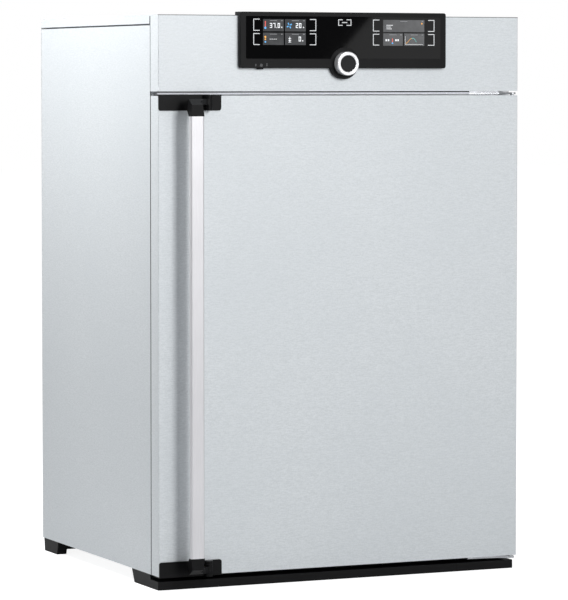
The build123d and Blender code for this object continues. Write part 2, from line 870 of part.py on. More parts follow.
# Mains inlet: a recessed socket with three flat pins, flush with the rear panel
inlet_front = rear_y - inlet_depth
with BuildPart() as mains_inlet:
    with BuildSketch(facing(rear_y)):
        with Locations((inlet_x, inlet_z)):
            Rectangle(inlet_width, inlet_height)
    extrude(amount=inlet_depth)
    with BuildSketch(facing(rear_inner)):
        with Locations((inlet_x, inlet_z)):
            Rectangle(inlet_width + 2 * inlet_rim, inlet_height)
    extrude(amount=inlet_wall)
    with BuildSketch(facing(rear_y)):
        with Locations((inlet_x, inlet_z)):
            Rectangle(inlet_width - 2 * inlet_wall, inlet_height - 2 * inlet_wall)
    extrude(amount=inlet_depth - inlet_wall, mode=Mode.SUBTRACT)
    with BuildSketch(facing(inlet_front + inlet_wall + inlet_pin_length)):
        with Locations((inlet_x, inlet_z)):
            with GridLocations(inlet_pin_spacing, 0, 3, 1):
                Rectangle(inlet_pin_width, inlet_pin_height)
    extrude(amount=inlet_pin_length)

# Fascia above the door: a pan open to the rear, with a window behind the control panel
hinge_x = half_width - hinge_pin_inset
hinge_y = door_face + hinge_pin_setback
leaf_right = half_width - hinge_leaf_start
leaf_left = leaf_right - hinge_leaf_width
fascia_back = seam_y - seam
pane_middle = casing_top - pane_drop - pane_height / 2

with BuildPart() as control_fascia:
    with BuildSketch(facing(fascia_back)):
        with Locations((0, (fascia_bottom + casing_top) / 2)):
            Rectangle(cabinet_width, casing_top - fascia_bottom)
    extrude(amount=fascia_back - door_face)
    fillet(control_fascia.edges().filter_by(Axis.Z).group_by(Axis.Y)[0], corner_radius)
    offset(amount=-casing_sheet, openings=control_fascia.faces().sort_by(Axis.Y)[-1])
    with BuildSketch(facing(skin_inner)):
        with Locations((0, pane_middle)):
            Rectangle(cockpit_width - 2 * window_margin, window_height)
    extrude(amount=casing_sheet, mode=Mode.SUBTRACT)
    notch_depth = hinge_leaf_sheet + hinge_gap
    block((leaf_left - hinge_gap, leaf_right + hinge_gap), (seam_y - notch_depth, fascia_back),
          (fascia_bottom, fascia_bottom + casing_sheet), mode=Mode.SUBTRACT)

# Control panel housing: a moulded bezel with a lip over the top edge and a round knob collar
cockpit_face = door_face - cockpit_proud
cockpit_top = casing_top + cockpit_rise
cockpit_bottom = casing_top - cockpit_drop
cockpit_height = cockpit_top - cockpit_bottom
cockpit_middle = (cockpit_top + cockpit_bottom) / 2
knob_height = casing_top - knob_drop
display_middle = casing_top - display_drop
pane_back = cockpit_face + pane_thickness
ledge_back = pane_back + pane_ledge
switch_y = door_face - cockpit_proud / 2 + cockpit_wall / 2

with BuildPart() as cockpit_housing:
    with BuildSketch(facing(door_face)):
        with Locations((0, cockpit_middle)):
            RectangleRounded(cockpit_width, cockpit_height, cockpit_corner)
        with Locations((0, knob_height)):
            Circle(collar_radius)
    extrude(amount=cockpit_proud)
    chamfer(cockpit_housing.faces().sort_by(Axis.Y)[0].edges(), cockpit_chamfer)
    with BuildSketch(level(casing_top)):
        with Locations((0, door_face + cockpit_lip / 2)):
            Rectangle(cockpit_width - 2 * cockpit_edge, cockpit_lip)
    extrude(amount=cockpit_rise)
    lip_edges = cockpit_housing.edges().filter_by(Axis.X).group_by(Axis.Y)[-1]
    fillet(lip_edges.sort_by(Axis.Z)[-1], cockpit_edge)
    with BuildSketch(facing(pane_back)):
        with Locations((0, pane_middle)):
            RectangleRounded(pane_width + 2 * pane_gap, pane_height + 2 * pane_gap, pane_corner)
        with Locations((0, knob_height)):
            Circle(collar_radius + collar_groove, mode=Mode.SUBTRACT)
    extrude(amount=pane_thickness, mode=Mode.SUBTRACT)
    with BuildSketch(facing(door_face)):
        with Locations((0, cockpit_middle - cockpit_rise / 2)):
            RectangleRounded(
                cockpit_width - 2 * cockpit_wall,
                cockpit_height - cockpit_rise - 2 * cockpit_wall,
                cockpit_edge,
            )
        with Locations((0, knob_height)):
            Circle(collar_radius - cockpit_wall)
    extrude(amount=door_face - ledge_back, mode=Mode.SUBTRACT)
    with BuildSketch(facing(ledge_back)):
        with Locations((0, display_middle)):
            with GridLocations(display_spacing, 0, 2, 1):
                Rectangle(display_width, display_height)
        with Locations((0, knob_height)):
            Circle(encoder_radius + running_gap)
    extrude(amount=ledge_back - cockpit_face, mode=Mode.SUBTRACT)
    with BuildSketch(level(cockpit_bottom)):
        with Locations((-switch_offset, switch_y)):
            RectangleRounded(switch_width + 2 * switch_gap, switch_depth + 2 * switch_gap, corner_radius)
    extrude(amount=cockpit_wall, mode=Mode.SUBTRACT)

# Glass pane of the control panel, notched round the knob collar
with BuildPart() as cockpit_glass:
    with BuildSketch(facing(pane_back)):
        with Locations((0, pane_middle)):
            RectangleRounded(pane_width, pane_height, pane_corner)
        with Locations((0, knob_height)):
            Circle(collar_radius + collar_groove + pane_gap, mode=Mode.SUBTRACT)
    extrude(amount=pane_thickness)

# Two display modules behind the glass
with BuildPart() as display_modules:
    with BuildSketch(facing(pane_back)):
        with Locations((0, display_middle)):
            with GridLocations(display_spacing, 0, 2, 1):
                Rectangle(display_width - 2 * pane_gap, display_height - 2 * pane_gap)
    extrude(amount=-display_depth)

# Rotary encoder, the knob that turns on it and the button in the knob's middle
knob_axis = Axis((0, 0, knob_height), (0, 1, 0))
knob_back = cockpit_face - knob_gap
knob_front = knob_back - knob_length
web_front = knob_back - knob_web
encoder_front = web_front - encoder_gap
button_front = knob_front + button_inset
button_back = button_front + button_cap

with BuildPart() as knob_encoder:
    with BuildSketch(facing(ledge_back + encoder_sheet)):
        with Locations((0, knob_height)):
            RectangleRounded(encoder_base, encoder_base, corner_radius)
    extrude(amount=encoder_sheet)
    with BuildSketch(facing(ledge_back)):
        with Locations((0, knob_height)):
            Circle(encoder_radius)
    extrude(amount=ledge_back - encoder_front)
    with BuildSketch(facing(encoder_front)):
        with Locations((0, knob_height)):
            Circle(button_stem + running_gap)
    extrude(amount=-(ledge_back + encoder_sheet - encoder_front), mode=Mode.SUBTRACT)

with BuildPart() as knob_ring:
    with BuildSketch(Plane(origin=(0, 0, knob_height), x_dir=(0, 1, 0), z_dir=(1, 0, 0))):
        with BuildLine():
            Polyline(
                (knob_back, encoder_radius + running_gap),
                (knob_back, knob_radius - knob_edge),
                (knob_back - knob_edge, knob_radius),
                (knob_front, knob_radius),
                (knob_front, knob_bore),
                (web_front, knob_bore),
                (web_front, encoder_radius + running_gap),
                close=True,
            )
        make_face()
    revolve(axis=knob_axis)
    fillet(knob_ring.faces().sort_by(Axis.Y)[0].edges(), knob_edge)

with BuildPart() as confirm_button:
    with BuildSketch(facing(button_back)):
        with Locations((0, knob_height)):
            Circle(button_radius)
    extrude(amount=button_cap)
    fillet(confirm_button.faces().sort_by(Axis.Y)[0].edges(), button_inset)
    with BuildSketch(facing(button_back)):
        with Locations((0, knob_height)):
            Circle(button_stem)
    extrude(amount=-(ledge_back - button_back))

# Main switch under the panel: a key with a flange that stops it dropping out
flange_bottom = cockpit_bottom + cockpit_wall + running_gap
with BuildPart() as main_switch:
    with BuildSketch(level(cockpit_bottom - switch_proud)):
        with Locations((-switch_offset, switch_y)):
            RectangleRounded(switch_width, switch_depth, corner_radius)
    extrude(amount=flange_bottom - cockpit_bottom + switch_proud)
    with BuildSketch(level(flange_bottom)):
        with Locations((-switch_offset, switch_y)):
            Rectangle(switch_width + 2 * switch_flange, switch_flange_depth)
    extrude(amount=switch_flange)

# Hinge brackets with riveted pins: the upper one is bolted to the frame behind the fascia
upper_plate_bottom = door_top + hinge_gap


def hinge_plan():
    """Outline of a hinge plate, from the frame to the eye round the pin."""
    with BuildLine() as outline:
        Polyline(
            (leaf_left, seam_y),
            (leaf_right, seam_y),
            (leaf_right + hinge_pin_inset, seam_y - hinge_pin_inset),
            (hinge_x + hinge_eye_radius, hinge_y),
            (hinge_x, hinge_y - hinge_eye_radius),
            (leaf_right - hinge_pin_inset, seam_y - hinge_leaf_depth - hinge_pin_inset),
            (leaf_left + hinge_leaf_depth, seam_y - hinge_leaf_depth),
            (leaf_left, seam_y - hinge_leaf_depth),
            close=True,
        )
    make_face(outline.edges())
    with Locations((hinge_x, hinge_y)):
        Circle(hinge_eye_radius)


with BuildPart() as upper_hinge_bracket:
    with BuildSketch(level(upper_plate_bottom)):
        hinge_plan()
    extrude(amount=hinge_plate)
    block((leaf_left, leaf_right), (seam_y - hinge_leaf_sheet, seam_y),
          (upper_plate_bottom, upper_plate_bottom + hinge_leaf_height))
    with BuildSketch(level(upper_plate_bottom)):
        with Locations((hinge_x, hinge_y)):
            Circle(hinge_pin_radius)
    extrude(amount=-hinge_pin_depth)

with BuildPart() as lower_hinge_bracket:
    lower_plate_top = casing_bottom - hinge_drop
    with BuildSketch(level(lower_plate_top)):
        hinge_plan()
    extrude(amount=-hinge_plate)
    block((leaf_left, leaf_right), (seam_y, seam_y + hinge_eye_radius),
          (lower_plate_top - hinge_plate, casing_bottom))
    with BuildSketch(level(lower_plate_top)):
        with Locations((hinge_x, hinge_y)):
            Circle(hinge_pin_radius)
    extrude(amount=hinge_pin_depth)

# Outer door skin: a pan open to the rear
with BuildPart() as door_outer_skin:
    with BuildSketch(facing(door_back)):
        with Locations((0, door_middle)):
            Rectangle(cabinet_width, door_height)
    extrude(amount=door_depth)
    fillet(door_outer_skin.edges().filter_by(Axis.Z).group_by(Axis.Y)[0], corner_radius)
    offset(amount=-casing_sheet, openings=door_outer_skin.faces().sort_by(Axis.Y)[-1])
    with BuildSketch(level(casing_bottom)):
        with Locations((hinge_x, hinge_y)):
            Circle(bush_radius + running_gap)
    extrude(amount=door_height, mode=Mode.SUBTRACT)
    cut_hook_slots((door_face, skin_inner), hook_sweep(skin_inner - pivot_y))

# Inner liner of the door, with a raised panel inside the gasket
liner_height = door_height - 2 * casing_sheet
raised_width = recess_width - 2 * liner_gap
raised_height = recess_height - 2 * liner_gap
with BuildPart() as door_inner_liner:
    with BuildSketch(facing(liner_y)):
        with Locations((0, door_middle)):
            Rectangle(2 * side_inner, liner_height)
    extrude(amount=casing_sheet)
    with BuildSketch(facing(liner_y)):
        with Locations((0, door_middle)):
            RectangleRounded(raised_width, raised_height, liner_corner)
    extrude(amount=-liner_raise, taper=liner_taper)
    with BuildSketch(facing(liner_front)):
        with Locations((0, door_middle)):
            RectangleRounded(
                raised_width - 2 * casing_sheet,
                raised_height - 2 * casing_sheet,
                liner_corner,
            )
    extrude(amount=-liner_raise, taper=liner_taper, mode=Mode.SUBTRACT)
    cut_hook_slots((liner_front, liner_y), hook_sweep(liner_front - pivot_y))

# Door insulation with room for the hooks and the hinge bushes
hook_swing_reach = hook_reach * sin(radians(handle_swing)) + hook_width / 2
pocket_x = (side_inner - bush_plate_width, side_inner)
pocket_y = (skin_inner, liner_front)
upper_pocket = (door_top - hinge_pin_depth - bush_plate, door_top)
lower_pocket = (casing_bottom, casing_bottom + hinge_pin_depth + bush_plate)

with BuildPart() as door_insulation:
    block((-side_inner, side_inner), (skin_inner, liner_front),
          (casing_bottom + casing_sheet, door_top - casing_sheet))
    fillet(door_insulation.edges().filter_by(Axis.Z).group_by(Axis.Y)[0], corner_radius)
    cut_hook_slots((skin_inner, liner_front), hook_swing_reach)
    for z_limits in (upper_pocket, lower_pocket):
        block(pocket_x, pocket_y, z_limits, mode=Mode.SUBTRACT)

# Door gasket: a silicone ring on the liner, just clear of the front frame
with BuildPart() as door_gasket:
    with BuildSketch(facing(liner_y)):
        with Locations((0, door_middle)):
            gasket_width_x = cabinet_width - 2 * gasket_inset_x
            gasket_height_z = door_height - 2 * gasket_inset_z
            RectangleRounded(gasket_width_x, gasket_height_z, gasket_width)
            RectangleRounded(
                gasket_width_x - 2 * gasket_width,
                gasket_height_z - 2 * gasket_width,
                gasket_edge,
                mode=Mode.SUBTRACT,
            )
    extrude(amount=-(seam_y - gasket_gap - liner_y))
    fillet(door_gasket.faces().sort_by(Axis.Y)[-1].edges(), gasket_edge)

# Hinge bushes in the door's upper and lower right corners, each on a stiffening plate
with BuildPart() as door_hinge_bushes:
    for outer, inward in ((door_top, -1), (casing_bottom, 1)):
        plate_start = outer + inward * casing_sheet
        plate_end = plate_start + inward * bush_plate
        block((side_inner - bush_plate_width, side_inner), (skin_inner + corner_radius, liner_front),
              (min(plate_start, plate_end), max(plate_start, plate_end)))
        with BuildSketch(level(outer)):
            with Locations((hinge_x, hinge_y)):
                Circle(bush_radius - running_gap)
        extrude(amount=inward * hinge_pin_depth)
    with BuildSketch(level(casing_bottom)):
        with Locations((hinge_x, hinge_y)):
            Circle(hinge_pin_radius + running_gap)
    extrude(amount=door_height, mode=Mode.SUBTRACT)

# Handle mounts: a plate wrapped over the door's edge, with two knuckles
plate_front = door_face - mount_sheet
lower_knuckle = (mount_bottom, mount_bottom + knuckle_lower)
upper_knuckle = (mount_top - knuckle_upper, mount_top)
mount_slot_left = pivot_x - hook_sweep(pivot_reach) - hook_slot_gap

with BuildPart() as handle_mount_upper:
    with BuildSketch(facing(door_face)):
        with Locations(((mount_left + mount_right) / 2, (mount_bottom + mount_top) / 2)):
            Rectangle(mount_width, mount_top - mount_bottom)
    extrude(amount=mount_sheet)
    fillet(handle_mount_upper.edges().filter_by(Axis.Y).group_by(Axis.Z)[0], mount_corner)
    block((mount_left, mount_right), (door_face, door_face + mount_wrap_depth), (door_top, mount_top))
    for low, high in (lower_knuckle, upper_knuckle):
        with BuildSketch(level(low)):
            with Locations((pivot_x, pivot_y)):
                Circle(pivot_radius)
            with Locations((pivot_x, (pivot_y + plate_front) / 2)):
                Rectangle(2 * pivot_radius, plate_front - pivot_y)
        extrude(amount=high - low)
    with BuildSketch(level(mount_bottom)):
        with Locations((pivot_x, pivot_y)):
            Circle(pivot_pin_radius + running_gap)
    extrude(amount=mount_top - mount_bottom, mode=Mode.SUBTRACT)
    block((mount_slot_left, slot_right), (plate_front, door_face), slot_limits, mode=Mode.SUBTRACT)

handle_mount_lower = mirrored(handle_mount_upper, door_mirror)

with BuildPart() as upper_pin:
    with BuildSketch(level(mount_bottom)):
        with Locations((pivot_x, pivot_y)):
            Circle(pivot_pin_radius)
    extrude(amount=mount_top - mount_bottom)

with BuildPart() as handle_pivot_pins:
    add(upper_pin.part)
    mirror(upper_pin.part, about=door_mirror)

# Handle bar: an extruded section with rounded edges
with BuildPart() as handle_bar:
    with BuildSketch(level(bar_bottom)):
        with Locations(((bar_left + bar_right) / 2, handle_face + bar_thickness / 2)):
            RectangleRounded(bar_width, bar_thickness, bar_edge)
    extrude(amount=bar_top - bar_bottom)

# Handle arms: a tapered cap on the bar's end, with a web back to the eye on the pivot
cap_back = handle_face + arm_depth
with BuildPart() as handle_arm_upper:
    with BuildSketch(facing(handle_face)):
        with BuildLine():
            Polyline(
                (bar_left, bar_top),
                (bar_left + arm_face_taper, eye_top),
                (bar_right - arm_face_taper, eye_top),
                (bar_right, bar_top),
                close=True,
            )
        make_face()
    extrude(amount=-arm_depth)
    with BuildSketch(level(hook_top)):
        with BuildLine():
            Polyline(
                (bar_left + arm_face_taper, cap_back - arm_face_taper),
                (bar_right - arm_face_taper, cap_back - arm_depth / 2),
                (pivot_x - arm_face_taper, pivot_y - pivot_radius),
                (pivot_x, pivot_y - pivot_radius),
                (pivot_x, pivot_y + pivot_radius),
                (pivot_x - arm_face_taper, pivot_y + pivot_radius),
                (bar_left + arm_depth / 2, cap_back),
                (bar_left + arm_face_taper, cap_back),
                close=True,
            )
        make_face()
        with Locations((pivot_x, pivot_y)):
            Circle(pivot_radius)
    extrude(amount=eye_top - hook_top)
    with BuildSketch(Plane.YZ.offset(bar_left)):
        with BuildLine():
            Polyline(
                (handle_face, bar_top),
                (handle_face, bar_top + arm_face_height),
                (cap_back, eye_top),
                (pivot_y + pivot_radius, eye_top),
                (pivot_y + pivot_radius, hook_top),
                (cap_back + arm_face_taper, hook_top),
                (cap_back, bar_top + arm_depth / 2),
                (handle_face + bar_thickness, bar_top),
                close=True,
            )
        make_face()
    extrude(amount=pivot_x + pivot_radius - bar_left, mode=Mode.INTERSECT)
    with BuildSketch(level(hook_top)):
        with Locations((pivot_x, pivot_y)):
            Circle(pivot_pin_radius + running_gap)
    extrude(amount=eye_top - hook_top, mode=Mode.SUBTRACT)

handle_arm_lower = mirrored(handle_arm_upper, door_mirror)

# Latch hooks under the arms' eyes, through the door to the front frame
hook_tip = pivot_y + hook_reach
with BuildPart() as upper_hook:
    with BuildSketch(level(hook_bottom)):
        with Locations((pivot_x, pivot_y)):
            Circle(pivot_radius)
        with BuildLine():
            Polyline(
                (pivot_x - hook_width / 2, pivot_y),
                (pivot_x - hook_width / 2, hook_tip),
                (pivot_x + hook_width / 2 + hook_tooth, hook_tip),
                (pivot_x + hook_width / 2, hook_tip - hook_tooth_depth),
                (pivot_x + hook_width / 2, pivot_y),
                close=True,
            )
        make_face()
        with Locations((pivot_x, pivot_y)):
            Circle(pivot_pin_radius + running_gap, mode=Mode.SUBTRACT)
    extrude(amount=hook_sheet)

with BuildPart() as latch_hooks:
    add(upper_hook.part)
    mirror(upper_hook.part, about=door_mirror)

# Glass door: the pane, its hinge clamps and the posts on the frame that carry them
glass_back = recess_floor - seal_height - glass_seal_gap
glass_front = glass_back - glass_thickness
glass_left = -recess_half + glass_gap_left
glass_right = recess_half - glass_gap_right
glass_height = recess_height - 2 * glass_gap_ends
glass_top = door_middle + glass_height / 2
glass_axis_x = recess_half - glass_axis_inset
glass_axis_y = glass_front - glass_axis_lead
latch_x = glass_left + glass_latch_inset

with BuildPart() as glass_pane:
    with BuildSketch(facing(glass_back)):
        with Locations(((glass_left + glass_right) / 2, door_middle)):
            RectangleRounded(glass_right - glass_left, glass_height, glass_corner)
        with Locations((latch_x, door_middle)):
            Circle(glass_latch_shaft + running_gap, mode=Mode.SUBTRACT)
    extrude(amount=glass_thickness)

clamp_top = glass_top + glass_clamp_overrun
clamp_bottom = clamp_top - glass_clamp_height
clamp_plate_z = (clamp_bottom, glass_top)
clamp_right = glass_right + glass_clamp_sheet
clamp_front_y = (glass_front - glass_clamp_sheet, glass_front)
clamp_back_y = (glass_back, glass_back + glass_clamp_sheet)

with BuildPart() as upper_clamp:
    block((glass_right - glass_clamp_depth, clamp_right), clamp_front_y, clamp_plate_z)
    block((glass_right, clamp_right), (glass_front, clamp_back_y[1]), clamp_plate_z)
    block((clamp_right - glass_clamp_lip, clamp_right), clamp_back_y, clamp_plate_z)
    with BuildSketch(level(clamp_bottom)):
        with Locations((glass_axis_x, glass_axis_y)):
            Circle(glass_barrel_radius)
    extrude(amount=glass_clamp_height)
    with BuildSketch(level(clamp_bottom)):
        with Locations((glass_axis_x, glass_axis_y)):
            Circle(glass_pin_radius + running_gap)
    extrude(amount=glass_clamp_height, mode=Mode.SUBTRACT)

with BuildPart() as glass_hinge_clamps:
    add(upper_clamp.part)
    mirror(upper_clamp.part, about=door_mirror)

post_bottom = clamp_top + glass_seal_gap
with BuildPart() as upper_post:
    with BuildSketch(level(post_bottom)):
        with Locations((glass_axis_x, glass_axis_y)):
            Circle(glass_barrel_radius)
        with BuildLine():
            Polyline(
                (glass_axis_x - glass_barrel_radius, glass_axis_y),
                (glass_axis_x - glass_barrel_radius, recess_floor),
                (recess_half, recess_floor),
                (recess_half, glass_axis_y - glass_barrel_radius),
                (glass_axis_x, glass_axis_y - glass_barrel_radius),
                close=True,
            )
        make_face()
    extrude(amount=glass_post_sheet)
    with BuildSketch(level(post_bottom)):
        with Locations((glass_axis_x, glass_axis_y)):
            Circle(glass_pin_radius)
    extrude(amount=-glass_pin_length)

with BuildPart() as glass_hinge_posts:
    add(upper_post.part)
    mirror(upper_post.part, about=door_mirror)

# Turn latch of the glass door: knob, tab and shaft in one, and its keeper on the recess wall
tab_front = glass_front - glass_tab_gap - glass_tab_sheet
with BuildPart() as glass_latch:
    with BuildSketch(facing(tab_front)):
        with Locations((latch_x, door_middle)):
            Circle(glass_knob_radius)
    extrude(amount=glass_knob_length)
    with BuildSketch(facing(tab_front)):
        for side in (-1, 1):
            with Locations((latch_x + side * glass_knob_radius, door_middle)):
                Rectangle(2 * (glass_knob_radius - glass_knob_grip / 2), 3 * glass_knob_radius)
    extrude(amount=glass_knob_length, mode=Mode.SUBTRACT)
    with BuildSketch(facing(tab_front)):
        with Locations((latch_x, door_middle)):
            Circle(glass_knob_radius)
    extrude(amount=glass_knob_length / 4)
    with BuildSketch(facing(tab_front + glass_tab_sheet)):
        with Locations((latch_x, door_middle)):
            Circle(glass_tab_width / 2)
        with Locations((latch_x, door_middle + glass_tab_length / 2)):
            Rectangle(glass_tab_width, glass_tab_length)
    extrude(amount=glass_tab_sheet)
    with BuildSketch(facing(glass_back)):
        with Locations((latch_x, door_middle)):
            Circle(glass_latch_shaft)
    extrude(amount=glass_back - tab_front)

keeper_back = tab_front - keeper_gap
keeper_front_y = (keeper_back - glass_tab_sheet, keeper_back)
keeper_z = (door_middle - keeper_height / 2, door_middle + keeper_height / 2)

with BuildPart() as glass_latch_keeper:
    block((-recess_half, glass_left - keeper_gap), keeper_front_y, keeper_z)
    block((-recess_half, -recess_half + keeper_sheet), (keeper_back, recess_floor), keeper_z)

# Plinth: front foot blocks and the bar between them share one moulded section
plinth_front = door_face + plinth_setback
plinth_half = half_width - plinth_inset
ledge_end = plinth_front + plinth_ledge


def plinth_section(back_top, back_bottom):
    """Side view of the plinth: low ledge in front, riser up to the casing, slanted rear."""
    with BuildLine() as outline:
        Polyline(
            (plinth_front, 0),
            (plinth_front, plinth_height),
            (ledge_end, plinth_height),
            (ledge_end + plinth_slope, casing_bottom),
            (back_top, casing_bottom),
            (back_bottom, 0),
            close=True,
        )
    make_face(outline.edges())


foot_back = plinth_front + front_foot_length
with BuildPart() as front_foot_left:
    with BuildSketch(Plane.YZ.offset(-plinth_half)):
        plinth_section(foot_back, foot_back - foot_slant)
    extrude(amount=front_foot_width)
    front_edges = front_foot_left.edges().filter_by(Axis.Z).group_by(Axis.Y)[0].sort_by(Axis.X)
    chamfer(front_edges[0], corner_radius)

front_foot_right = mirrored(front_foot_left, Plane.YZ)

bar_back = ledge_end + plinth_slope + plinth_web
with BuildPart() as front_plinth_bar:
    with BuildSketch(Plane.YZ.offset(-plinth_half + front_foot_width)):
        plinth_section(bar_back, bar_back)
    extrude(amount=2 * (plinth_half - front_foot_width))

# Rear feet joined by a cross bar, one moulding
foot_front = rear_y - rear_foot_length
cross_back = rear_y - cross_bar_setback
cross_front = cross_back - cross_bar_depth
between_feet = (-plinth_half + rear_foot_width, plinth_half - rear_foot_width)

with BuildPart() as rear_foot_rail:
    with BuildSketch(Plane.YZ.offset(-plinth_half)):
        with BuildLine():
            Polyline(
                (foot_front, casing_bottom),
                (rear_y, casing_bottom),
                (rear_y - rear_foot_taper / 2, 0),
                (foot_front + rear_foot_taper, 0),
                close=True,
            )
        make_face()
    extrude(amount=2 * plinth_half)
    block(between_feet, (foot_front, rear_y), (0, cross_bar_gap), mode=Mode.SUBTRACT)
    block(between_feet, (foot_front, cross_front), (0, casing_bottom), mode=Mode.SUBTRACT)
    block(between_feet, (cross_back, rear_y), (0, casing_bottom), mode=Mode.SUBTRACT)

# Every finished piece, under the name it is written with
pieces = {
    "left_side_panel": left_side_panel,
    "right_side_panel": right_side_panel,
    "lid_panel": lid_panel,
    "bottom_panel": bottom_panel,
    "rear_panel": rear_panel,
    "cabinet_screws": cabinet_screws,
    "front_frame": front_frame,
    "chamber_left_wall": chamber_left_wall,
    "chamber_right_wall": chamber_right_wall,
    "chamber_ceiling": chamber_ceiling,
    "chamber_floor": chamber_floor,
    "chamber_rear_wall": chamber_rear_wall,
    "heater_mats": heater_mats,
    "chamber_insulation": chamber_insulation,
    "chamber_seal": chamber_seal,
    "shelf_lower": shelf_lower,
    "shelf_upper": shelf_upper,
    "fan_baffle": fan_baffle,
    "temperature_probes": temperature_probes,
    "fan_wheel": fan_wheel,
    "fan_motor": fan_motor,
    "exhaust_pipe": exhaust_pipe,
    "vent_flap": vent_flap,
    "vent_motor": vent_motor,
    "electronics_tray": electronics_tray,
    "control_board": control_board,
    "power_supply": power_supply,
    "mains_inlet": mains_inlet,
    "control_fascia": control_fascia,
    "cockpit_housing": cockpit_housing,
    "cockpit_glass": cockpit_glass,
    "display_modules": display_modules,
    "knob_encoder": knob_encoder,
    "knob_ring": knob_ring,
    "confirm_button": confirm_button,
    "main_switch": main_switch,
    "upper_hinge_bracket": upper_hinge_bracket,
    "lower_hinge_bracket": lower_hinge_bracket,
    "door_outer_skin": door_outer_skin,
    "door_inner_liner": door_inner_liner,
    "door_insulation": door_insulation,
    "door_gasket": door_gasket,
    "door_hinge_bushes": door_hinge_bushes,
    "handle_mount_upper": handle_mount_upper,
    "handle_mount_lower": handle_mount_lower,
    "handle_pivot_pins": handle_pivot_pins,
    "handle_bar": handle_bar,
    "handle_arm_upper": handle_arm_upper,
    "handle_arm_lower": handle_arm_lower,
    "latch_hooks": latch_hooks,
    "glass_pane": glass_pane,
    "glass_hinge_clamps": glass_hinge_clamps,
    "glass_hinge_posts": glass_hinge_posts,
    "glass_latch": glass_latch,
    "glass_latch_keeper": glass_latch_keeper,
    "front_foot_left": front_foot_left,
    "front_foot_right": front_foot_right,
    "front_plinth_bar": front_plinth_bar,
    "rear_foot_rail": rear_foot_rail,
}

for name, piece in pieces.items():
    piece.part.label = name
    export_step(piece.part, f"parts/{name}.step")
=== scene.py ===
import json
import math

import bmesh
import bpy
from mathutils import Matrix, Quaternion, Vector


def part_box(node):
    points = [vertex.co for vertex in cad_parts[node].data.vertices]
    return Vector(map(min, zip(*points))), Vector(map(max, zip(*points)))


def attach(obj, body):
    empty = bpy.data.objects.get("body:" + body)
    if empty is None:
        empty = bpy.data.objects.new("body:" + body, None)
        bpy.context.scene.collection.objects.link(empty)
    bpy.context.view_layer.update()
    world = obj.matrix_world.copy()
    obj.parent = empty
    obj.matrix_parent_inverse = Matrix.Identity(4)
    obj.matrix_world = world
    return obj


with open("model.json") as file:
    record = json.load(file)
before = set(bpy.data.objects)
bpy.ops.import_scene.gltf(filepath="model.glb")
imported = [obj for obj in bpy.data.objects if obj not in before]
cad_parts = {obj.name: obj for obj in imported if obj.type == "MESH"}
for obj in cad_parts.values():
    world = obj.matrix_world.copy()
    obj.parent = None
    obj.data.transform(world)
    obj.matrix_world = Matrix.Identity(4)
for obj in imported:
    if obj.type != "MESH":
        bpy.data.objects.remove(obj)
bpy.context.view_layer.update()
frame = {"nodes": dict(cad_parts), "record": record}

nodes = frame["nodes"]
scene = bpy.context.scene
scene.view_settings.view_transform = "Standard"

# Camera, as solved from the edges of the cabinet
IMAGE_HEIGHT_PIXELS = 600
FOCAL_PIXELS = 3461.43
SENSOR_WIDTH = 36.0
CAMERA_PLACE = (-3.0564, -6.8267, 1.0443)
CAMERA_DOWN = 2.8537
CAMERA_TURN = -24.1796
camera_data = bpy.data.cameras.new("camera")
camera_data.sensor_width = SENSOR_WIDTH
camera_data.lens = FOCAL_PIXELS / IMAGE_HEIGHT_PIXELS * SENSOR_WIDTH
camera_data.shift_y = -0.08
camera_data.clip_end = 100.0
camera = bpy.data.objects.new("camera", camera_data)
camera.location = CAMERA_PLACE
camera.rotation_euler = (math.radians(90.0 - CAMERA_DOWN), 0.0, math.radians(CAMERA_TURN))
scene.collection.objects.link(camera)
scene.camera = camera


# Materials
def linear(rgb):
    """Linear colour of an 8-bit sRGB colour."""
    out = []
    for value in rgb:
        v = value / 255.0
        out.append(v / 12.92 if v <= 0.04045 else ((v + 0.055) / 1.055) ** 2.4)
    return (*out, 1.0)


